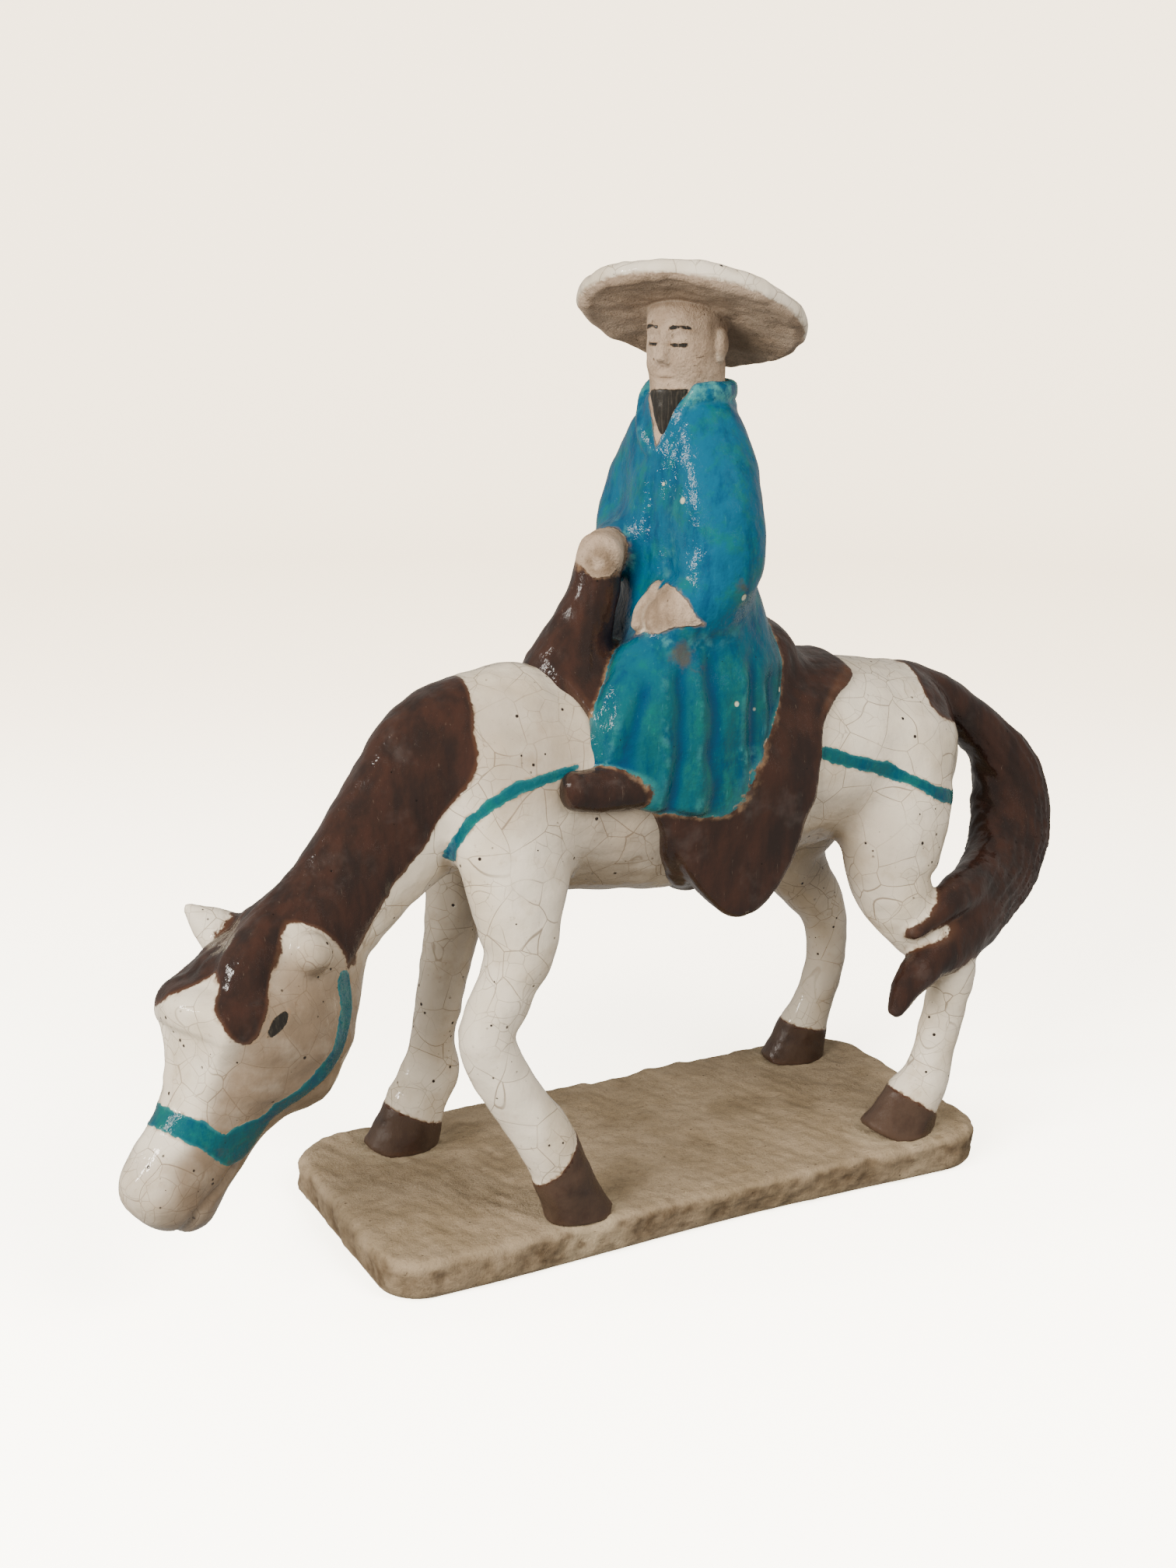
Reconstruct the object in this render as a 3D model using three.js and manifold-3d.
// A glazed pottery grazing horse with a seated rider, on its own slab of bare clay.
// Millimetres, +Z up. The horse faces -X. The origin is the centre of the slab's underside.
import * as THREE from 'three';
import { mergeVertices } from 'three/addons/utils/BufferGeometryUtils.js';
import Module from 'manifold-3d';

// Driving dimensions of the figure.
const FIGURE_HEIGHT = 327;      // from the top of the slab to the top of the hat
const POSED_HEIGHT = 327;       // the height at which the stations below are written
const HAT_RADIUS = 40;
const HAT_THICKNESS = 9.4;
const BLANKET_THICKNESS = 3.2;

// Driving dimensions of the slab.
const SLAB_THICKNESS = 15;
const SLAB_FRONT_MARGIN = 25;   // beyond the foremost hoof
const SLAB_REAR_MARGIN = 19;    // beyond the rearmost hoof
const SLAB_SIDE_MARGIN = 2;     // beyond the outermost hooves, across the width
const SLAB_CORNER_RADIUS = 22;
const SLAB_EDGE_ROUNDING = 4.5;

// Fineness of the facets.
const DOME_ROWS = 2;
const FACET_TOLERANCE = 0.15;   // slivers along the joins may be smoothed away by this much
const FIGURE_SCALE = FIGURE_HEIGHT / POSED_HEIGHT;

// The stations are written from the slab's underside, with a slab of this thickness.
const POSED_SLAB = 15;
const SOLE_SINK = 3;            // the hooves run this far down before they are cut flat

const COLOURS = {
  whiteGlaze: 0xe1dacf,
  bareClay: 0xa08c73,
};

const wasm = await Module();
wasm.setup();

// Turn a closed three.js geometry into a solid that can be joined and cut.
function toSolid(geometry) {
  const bare = geometry.clone();
  bare.deleteAttribute('normal');
  bare.deleteAttribute('uv');
  const merged = mergeVertices(bare, 1e-4);
  return new wasm.Manifold(new wasm.Mesh({
    numProp: 3,
    vertProperties: new Float32Array(merged.attributes.position.array),
    triVerts: new Uint32Array(merged.index.array),
  }));
}

// Turn a finished solid back into a named mesh.
function toMesh(solid, name, colour, roughness) {
  const raw = solid.getMesh();
  const geometry = new THREE.BufferGeometry();
  geometry.setAttribute('position', new THREE.BufferAttribute(Float32Array.from(raw.vertProperties), 3));
  geometry.setIndex(new THREE.BufferAttribute(Uint32Array.from(raw.triVerts), 1));
  geometry.computeVertexNormals();
  const material = new THREE.MeshStandardMaterial({ color: colour, roughness, metalness: 0 });
  const mesh = new THREE.Mesh(geometry, material);
  mesh.name = name;
  return mesh;
}

function joinAll(solids) {
  return solids.reduce((whole, piece) => whole.add(piece));
}

// A horizontal direction that points to the near side, turned about the vertical.
function nearSide(turnDegrees) {
  const turn = THREE.MathUtils.degToRad(turnDegrees);
  return new THREE.Vector3(Math.sin(turn), -Math.cos(turn), 0);
}

// A closed solid through stations. Each station is [x, y, z, half width, half depth].
// The width runs to the near side, and the depth stands square to it and to the path.
function loft(stations, options = {}) {
  const { sides = 12, rows = 6, turn = [0, 0], domes = [0.8, 0.8], folds = null, boxy = 2 } = options;
  const path = new THREE.CatmullRomCurve3(stations.map(([x, y, z]) => new THREE.Vector3(x, y, z)));
  const sizes = new THREE.CatmullRomCurve3(stations.map((s) => new THREE.Vector3(s[3], s[4], 0)));
  const layout = [];
  for (let k = DOME_ROWS; k >= 1; k -= 1) layout.push([0, -k / (DOME_ROWS + 1)]);
  for (let k = 0; k <= rows; k += 1) layout.push([k / rows, 0]);
  for (let k = 1; k <= DOME_ROWS; k += 1) layout.push([1, k / (DOME_ROWS + 1)]);

  const positions = [];
  const indices = [];
  const centreOf = (t, dome) => {
    const size = sizes.getPoint(t);
    const reach = Math.sign(dome) * Math.min(size.x, size.y) * (dome < 0 ? domes[0] : domes[1]);
    return path.getPoint(t).addScaledVector(path.getTangent(t), reach * Math.sin(Math.abs(dome) * Math.PI / 2));
  };
  for (const [t, dome] of layout) {
    const size = sizes.getPoint(t);
    const tangent = path.getTangent(t);
    const side = nearSide(THREE.MathUtils.lerp(turn[0], turn[1], t));
    side.addScaledVector(tangent, -side.dot(tangent)).normalize();
    const depth = new THREE.Vector3().crossVectors(tangent, side);
    const shrink = Math.cos(Math.abs(dome) * Math.PI / 2);
    const centre = centreOf(t, dome);
    for (let j = 0; j < sides; j += 1) {
      const angle = 2 * Math.PI * j / sides;
      const across = Math.sign(Math.cos(angle)) * Math.abs(Math.cos(angle)) ** (2 / boxy);
      const along = Math.sign(Math.sin(angle)) * Math.abs(Math.sin(angle)) ** (2 / boxy);
      const wave = folds ? 1 + folds.share * t * Math.cos(folds.count * angle) : 1;
      const vertex = centre.clone();
      vertex.addScaledVector(side, across * size.x * shrink * wave);
      vertex.addScaledVector(depth, along * size.y * shrink * wave);
      positions.push(vertex.x, vertex.y, vertex.z);
    }
  }
  for (const [t, dome] of [[0, -1], [1, 1]]) {
    const pole = centreOf(t, dome);
    positions.push(pole.x, pole.y, pole.z);
  }
  const ringCount = layout.length;
  const firstPole = ringCount * sides;
  for (let i = 0; i < ringCount - 1; i += 1) {
    for (let j = 0; j < sides; j += 1) {
      const a = i * sides + j;
      const b = i * sides + (j + 1) % sides;
      indices.push(a, b, a + sides, b, b + sides, a + sides);
    }
  }
  for (let j = 0; j < sides; j += 1) {
    const next = (j + 1) % sides;
    indices.push(firstPole, next, j);
    indices.push(firstPole + 1, (ringCount - 1) * sides + j, (ringCount - 1) * sides + next);
  }
  const geometry = new THREE.BufferGeometry();
  geometry.setAttribute('position', new THREE.Float32BufferAttribute(positions, 3));
  geometry.setIndex(indices);
  return toSolid(geometry);
}

// A flat outline in x and z, carried across the width between two y values.
function sidePlate(outline, fromY, toY) {
  const curve = new THREE.CatmullRomCurve3(outline.map(([x, z]) => new THREE.Vector3(x, z, 0)), true);
  const shape = new THREE.Shape(curve.getPoints(outline.length * 4).map((p) => new THREE.Vector2(p.x, p.y)));
  const geometry = new THREE.ExtrudeGeometry(shape, { depth: toY - fromY, bevelEnabled: false });
  geometry.rotateX(Math.PI / 2);
  geometry.translate(0, toY, 0);
  return toSolid(geometry);
}

// The horse's barrel, from the breast to the rump.
const TRUNK = [
  [-76, 0, 157, 21, 26],
  [-60, 0, 163, 31, 37],
  [-33, 0, 162, 37, 40.5],
  [5, 0, 158.5, 40, 41],
  [45, 0, 160, 39, 38],
  [80, 0, 161.5, 37, 35],
  [108, 0, 156, 31.5, 34],
  [120.5, 0, 150, 23, 27],
];

const NECK = [
  [-50, 0, 171, 28, 34],
  [-74, -1, 169, 23, 32.5],
  [-92.5, -4, 157.5, 19, 27],
  [-109, -9, 143.5, 16.5, 22.5],
  [-124, -13, 130, 16, 20.5],
  [-140, -16, 119.5, 19, 20],
];

// The head is turned to the near side by this angle.
const HEAD_TURN = 22;
const CHEEKS = [
  [-136.5, -9.9, 116, 22.9, 24],
  [-148.3, -14.7, 98, 28.3, 30.2],
  [-153.9, -17, 84, 26.7, 27],
];
const HORSE_FACE = [
  [-157.3, -18.3, 107, 26.1, 28.5],
  [-158.4, -18.8, 96, 27.9, 26.5],
  [-165.5, -21.6, 80, 21.7, 20.6],
  [-177.4, -25.4, 63, 15.8, 16.6],
  [-184.8, -28.4, 55, 15.7, 16.5],
  [-189.5, -30.3, 48, 14.9, 16.7],
];
const EARS = [
  [[-143, -25, 118, 7.5, 7], [-139.5, -35.8, 125, 7, 7]],
  [[-154, 3, 118, 10, 10], [-161, 7, 124.5, 6.5, 7], [-167, 10.5, 130, 2.4, 2.4]],
];

// Legs run from the trunk down into the slab's top, where they are cut flat.
const LEGS = {
  nearFore: [
    [-56, -14, 172, 17, 24],
    [-61, -24, 150, 15.5, 23],
    [-64, -32, 128, 12.5, 17],
    [-65, -35, 113, 11, 13],
    [-70, -36, 102, 10, 10.5],
    [-79, -39, 85, 9.5, 10],
    [-71.5, -42, 64, 9.5, 10],
    [-59.5, -45, 45, 10, 10.5],
    [-54, -46, 31, 9.5, 9.5],
  ],
  farFore: [
    [-56, 14, 172, 17, 24],
    [-58, 24, 146, 14.5, 19],
    [-59.5, 30, 122, 11.5, 13],
    [-61, 31, 105, 10.3, 11],
    [-66, 32, 78, 8.8, 9.3],
    [-69.5, 33, 57, 8.3, 8.6],
    [-71, 34, 42, 9.3, 12],
    [-76.5, 34.5, 31, 10, 11],
  ],
  nearHind: [
    [103, -12, 164, 22, 24.5],
    [99.5, -21, 144, 20, 23],
    [93, -29, 127, 17, 20.5],
    [91, -33, 114, 14, 16],
    [98.5, -36.5, 100, 11, 12.5],
    [110.5, -38, 87.5, 9.6, 11],
    [117.5, -38.5, 77, 8.8, 9.6],
    [115.3, -38.5, 63, 7.8, 8.4],
    [111.5, -38.5, 47, 7.6, 8],
    [107.5, -39, 33.5, 8.6, 9.2],
    [102, -39, 27, 9.5, 10.5],
  ],
  farHind: [
    [102, 12, 164, 22, 25],
    [92, 24, 134, 17, 21],
    [87, 31, 111, 13, 15.5],
    [96, 35, 95.5, 11, 12.5],
    [106.5, 37, 82, 9.6, 10.5],
    [110.5, 38, 70, 8.6, 9],
    [110.5, 38, 54, 7.8, 8.3],
    [105.5, 38.5, 38, 7.8, 8.4],
    [101.5, 39, 29, 9, 9.4],
  ],
};

// The middle of each hoof on the slab, with its half width and half depth there.
const HOOVES = {
  nearFore: [-46.5, -46, 9.5, 12.5],
  farFore: [-83.5, 35, 13, 14.5],
  nearHind: [94.5, -39, 13, 15.5],
  farHind: [96.5, 40, 12, 14],
};

const TAIL = [
  [108, 0, 182, 9, 10],
  [125, 0, 180.5, 8.5, 7.5],
  [142, 0, 170, 9, 8],
  [158, -1, 156, 10, 10],
  [166.5, -2, 143.5, 11, 13.8],
  [168.5, -4.5, 130, 12, 16.7],
  [166, -9, 120, 12, 18],
  [157, -16, 108, 12, 18],
  [137, -28, 98.5, 11, 16],
  [115, -41, 87.5, 8.8, 9],
  [103, -44.5, 83, 7, 6.5],
  [92.5, -47.5, 77, 5, 5.7],
  [87, -50, 70.5, 3, 3.2],
];
const TAIL_STRAND = [
  [137, -28, 106, 9, 12],
  [116, -40, 107.5, 7, 6],
  [103.5, -43.5, 103.5, 5.5, 3.8],
  [96, -45, 100, 3, 1.6],
];
const FORELOCK = [
  [-150, -20, 126, 12, 9],
  [-160, -28, 119, 9.5, 8],
  [-164, -33, 106, 8, 6],
  [-163, -36, 98, 5, 4],
];

// The saddle stands on a blanket that follows the barrel.
const BLANKET_OUTLINE = [
  [-40, 210], [-37, 200], [-34, 190], [-30, 176], [-20, 165], [-13, 152], [-8, 136], [5, 121], [19, 113.5],
  [29, 116], [40, 129], [46.5, 144], [51, 158], [54, 170], [57, 180], [68, 186.5], [85, 193.5], [72, 206],
  [50, 212], [-20, 214],
];
const FLAP_OUTLINE = [
  [-9, 165], [-10, 150], [-3, 135], [9, 120], [19, 113.5], [29, 116], [40, 129], [46.5, 144], [49, 165],
];
const SADDLE_SEAT = [
  [-24, 0, 192, 24, 20],
  [0, 0, 192, 30, 18],
  [28, 0, 196, 30, 22],
  [46, 0, 198, 25, 18],
  [60, 0, 191.5, 18, 8.8],
  [73, 0, 188.5, 10, 4],
];
const POMMEL = [
  [-31, 0, 190, 20, 22],
  [-28, 0, 205, 15, 14.5],
  [-23, 0, 217, 11.5, 11],
  [-18.3, 0, 230, 9.3, 9],
  [-16.5, 0, 240, 8.8, 8.6],
];

const TORSO = [
  [22, 0, 200, 29, 27],
  [19, 0, 222, 26, 23],
  [18.5, 0, 245, 25.5, 22],
  [19, 0, 266, 23, 20],
  [18, 0, 283, 18.5, 15.5],
  [18, 0, 294, 14.5, 14],
];
const TORSO_TURN = 24;
const NEAR_SLEEVE = [
  [20, -12, 283, 10, 10.5],
  [19.5, -20, 272, 11, 13],
  [18, -26, 257, 12, 14.5],
  [16.5, -29, 241, 12, 15],
  [10, -29, 229.5, 12, 13],
  [0, -28, 224, 10, 9.5],
];
const FAR_SLEEVE = [
  [15, 13, 281, 10, 11],
  [12.5, 21, 266, 11, 12.5],
  [8, 23, 252, 11, 12],
  [-1, 15, 243, 9, 9],
  [-9, 7, 241, 8, 8],
];
const NEAR_HAND = [
  [13, -29, 225, 8, 7.5],
  [5, -27, 225.5, 8.5, 8.5],
  [-6, -24.5, 221.5, 6.5, 6],
];
const FAR_HAND = [
  [-13, 3, 243, 7.5, 7.5],
  [-17.5, -2, 242, 8.4, 8.4],
];
const NEAR_SKIRT = [
  [18, -10, 212, 22, 24],
  [14, -18, 200, 21, 32.5],
  [6.7, -25, 187, 19, 35.8],
  [-0.6, -30, 175, 16, 35.7],
  [-0.5, -33, 165.7, 13.5, 33.5],
  [-2.2, -34, 157, 12.5, 22],
];
const NEAR_BOOT = [
  [-14, -35, 166.5, 8, 6],
  [-30, -37.5, 167, 7, 7],
  [-43.5, -36.5, 168.5, 6, 6.3],
];
const NECK_OF_RIDER = [
  [18, 0, 288, 13, 13.5],
  [17.5, -0.5, 304, 13, 13.5],
];
const FACE_TURN = 28;
const HEAD_OF_RIDER = [
  [13.5, -2.5, 301, 10, 11],
  [16, -1.5, 309, 13.2, 15],
  [17.5, -0.5, 321, 13.5, 15.3],
];
const NOSE = [
  [5, -8, 318, 1.6, 1.6],
  [2.6, -9.2, 309.5, 2.4, 2.6],
];
const GOATEE = [
  [6.5, -6, 299, 4.2, 4],
  [4.8, -7.5, 291, 3.6, 3.2],
  [4.5, -8, 284, 1.4, 1.4],
];
const HAT_CENTRE = [19.7, 0, 322];
const HAT_TILT = [0.328, 0.282, 0.902];

// Repeat a part of the near side on the far side.
function mirrored(stations) {
  return stations.map(([x, y, z, width, depth]) => [x, -y, z, width, depth]);
}

function grown(stations, thickness) {
  return stations.map(([x, y, z, width, depth]) => [x, y, z, width + thickness, depth + thickness]);
}

const BARREL = { sides: 20, rows: 10, domes: [0.55, 0.55] };

function buildHorse() {
  const pieces = [
    loft(TRUNK, BARREL),
    loft(NECK, { sides: 16, rows: 8, turn: [0, HEAD_TURN] }),
    loft(CHEEKS, { sides: 14, rows: 4, turn: [HEAD_TURN, HEAD_TURN], domes: [0.7, 0.7], boxy: 2.2 }),
    loft(HORSE_FACE, { sides: 16, rows: 8, turn: [HEAD_TURN, HEAD_TURN], domes: [0.35, 0.85], boxy: 2.3 }),
    loft(FORELOCK, { sides: 8, turn: [HEAD_TURN, HEAD_TURN] }),
    loft(TAIL, { sides: 11, rows: 14 }),
    loft(TAIL_STRAND, { sides: 8, rows: 5 }),
  ];
  for (const ear of EARS) pieces.push(loft(ear, { sides: 8, rows: 3, turn: [HEAD_TURN, HEAD_TURN] }));
  for (const [name, leg] of Object.entries(LEGS)) {
    const [x, y, width, depth] = HOOVES[name];
    const pastern = leg[leg.length - 1];
    const sole = [x, y, POSED_SLAB - SOLE_SINK, width, depth];
    pieces.push(loft(leg, { sides: 11, rows: 11, domes: [0.5, 0.7] }));
    pieces.push(loft([pastern, sole], { sides: 11, rows: 2, domes: [0.6, 0.1] }));
  }
  return joinAll(pieces);
}

function buildSaddle() {
  const around = loft(grown(TRUNK, BLANKET_THICKNESS), BARREL);
  const halfWidth = Math.max(...TRUNK.map((station) => station[3])) + BLANKET_THICKNESS;
  const blanket = around.intersect(sidePlate(BLANKET_OUTLINE, -2 * halfWidth, 2 * halfWidth));
  const flaps = [-1, 1].map((side) => {
    const outer = side * halfWidth;
    const inner = side * (halfWidth - 4 * BLANKET_THICKNESS);
    return sidePlate(FLAP_OUTLINE, Math.min(outer, inner), Math.max(outer, inner));
  });
  return joinAll([
    blanket,
    ...flaps,
    loft(SADDLE_SEAT, { sides: 16, rows: 8 }),
    loft(POMMEL),
  ]);
}

function buildHat() {
  const half = HAT_THICKNESS / 2;
  const profile = [[0, -half * 0.2]];
  profile.push([HAT_RADIUS * 0.45, -half * 0.35], [HAT_RADIUS * 0.86, -half * 0.7]);
  for (let k = 0; k <= 4; k += 1) {
    const angle = -Math.PI / 2 + Math.PI * k / 4;
    profile.push([HAT_RADIUS - half * 0.8 + half * 0.8 * Math.cos(angle), half * 0.8 * Math.sin(angle)]);
  }
  profile.push([HAT_RADIUS * 0.6, half * 1.3], [HAT_RADIUS * 0.3, half * 1.65], [0, half * 1.75]);
  const geometry = new THREE.LatheGeometry(profile.map(([r, h]) => new THREE.Vector2(r, h)), 26);
  geometry.applyQuaternion(new THREE.Quaternion().setFromUnitVectors(
    new THREE.Vector3(0, 1, 0),
    new THREE.Vector3(...HAT_TILT).normalize(),
  ));
  geometry.translate(...HAT_CENTRE);
  return toSolid(geometry);
}

function buildRider() {
  const skirt = { sides: 24, rows: 6, folds: { count: 8, share: 0.04 }, domes: [0.7, 0.25] };
  const turned = { sides: 14, rows: 5, turn: [FACE_TURN, FACE_TURN] };
  return joinAll([
    loft(TORSO, { sides: 18, rows: 8, turn: [0, TORSO_TURN], domes: [0.4, 0.4] }),
    loft(NEAR_SLEEVE, { sides: 11, rows: 7 }),
    loft(FAR_SLEEVE, { sides: 11, rows: 7 }),
    loft(NEAR_HAND, { sides: 10, rows: 3 }),
    loft(FAR_HAND, { rows: 3 }),
    loft(NEAR_SKIRT, skirt),
    loft(mirrored(NEAR_SKIRT), skirt),
    loft(NEAR_BOOT, { rows: 4 }),
    loft(mirrored(NEAR_BOOT), { rows: 4 }),
    loft(NECK_OF_RIDER, turned),
    loft(HEAD_OF_RIDER, turned),
    loft(NOSE, { sides: 8, rows: 2, turn: [FACE_TURN, FACE_TURN] }),
    loft(GOATEE, { sides: 8, rows: 4, turn: [FACE_TURN, FACE_TURN] }),
    buildHat(),
  ]);
}

// Where the hooves stand, as the least and greatest x and the greatest y.
function hoofSpan() {
  const feet = Object.values(HOOVES);
  return {
    minX: Math.min(...feet.map(([x, , , depth]) => x - depth)) * FIGURE_SCALE,
    maxX: Math.max(...feet.map(([x, , , depth]) => x + depth)) * FIGURE_SCALE,
    halfY: Math.max(...feet.map(([, y, width]) => Math.abs(y) + width)) * FIGURE_SCALE,
  };
}

function buildFigure() {
  const { minX, maxX } = hoofSpan();
  const slabCentre = (minX - SLAB_FRONT_MARGIN + maxX + SLAB_REAR_MARGIN) / 2;
  const whole = joinAll([buildHorse(), buildSaddle(), buildRider()])
    .translate([0, 0, -POSED_SLAB])
    .scale([FIGURE_SCALE, FIGURE_SCALE, FIGURE_SCALE])
    .translate([-slabCentre, 0, SLAB_THICKNESS]);
  const below = new THREE.BoxGeometry(4 * FIGURE_HEIGHT, 4 * FIGURE_HEIGHT, FIGURE_HEIGHT);
  below.translate(0, 0, SLAB_THICKNESS - FIGURE_HEIGHT / 2);
  return whole.subtract(toSolid(below)).simplify(FACET_TOLERANCE);
}

function buildSlab() {
  const { minX, maxX, halfY } = hoofSpan();
  const length = maxX - minX + SLAB_FRONT_MARGIN + SLAB_REAR_MARGIN;
  const halfLength = length / 2 - SLAB_EDGE_ROUNDING;
  const halfWidth = halfY + SLAB_SIDE_MARGIN - SLAB_EDGE_ROUNDING;
  const corner = SLAB_CORNER_RADIUS - SLAB_EDGE_ROUNDING;
  const shape = new THREE.Shape();
  for (const [x, y, from] of [[1, 1, 0], [-1, 1, 1], [-1, -1, 2], [1, -1, 3]]) {
    const centreX = x * (halfLength - corner);
    const centreY = y * (halfWidth - corner);
    shape.absarc(centreX, centreY, corner, from * Math.PI / 2, (from + 1) * Math.PI / 2, false);
  }
  const geometry = new THREE.ExtrudeGeometry(shape, {
    depth: SLAB_THICKNESS - 2 * SLAB_EDGE_ROUNDING,
    curveSegments: 4,
    bevelEnabled: true,
    bevelThickness: SLAB_EDGE_ROUNDING,
    bevelSize: SLAB_EDGE_ROUNDING,
    bevelSegments: 2,
  });
  geometry.translate(0, 0, SLAB_EDGE_ROUNDING);
  return toSolid(geometry);
}

const group = new THREE.Group();
group.add(toMesh(buildFigure(), 'horse_with_rider', COLOURS.whiteGlaze, 0.2));
group.add(toMesh(buildSlab(), 'base_slab', COLOURS.bareClay, 0.9));

export default group;
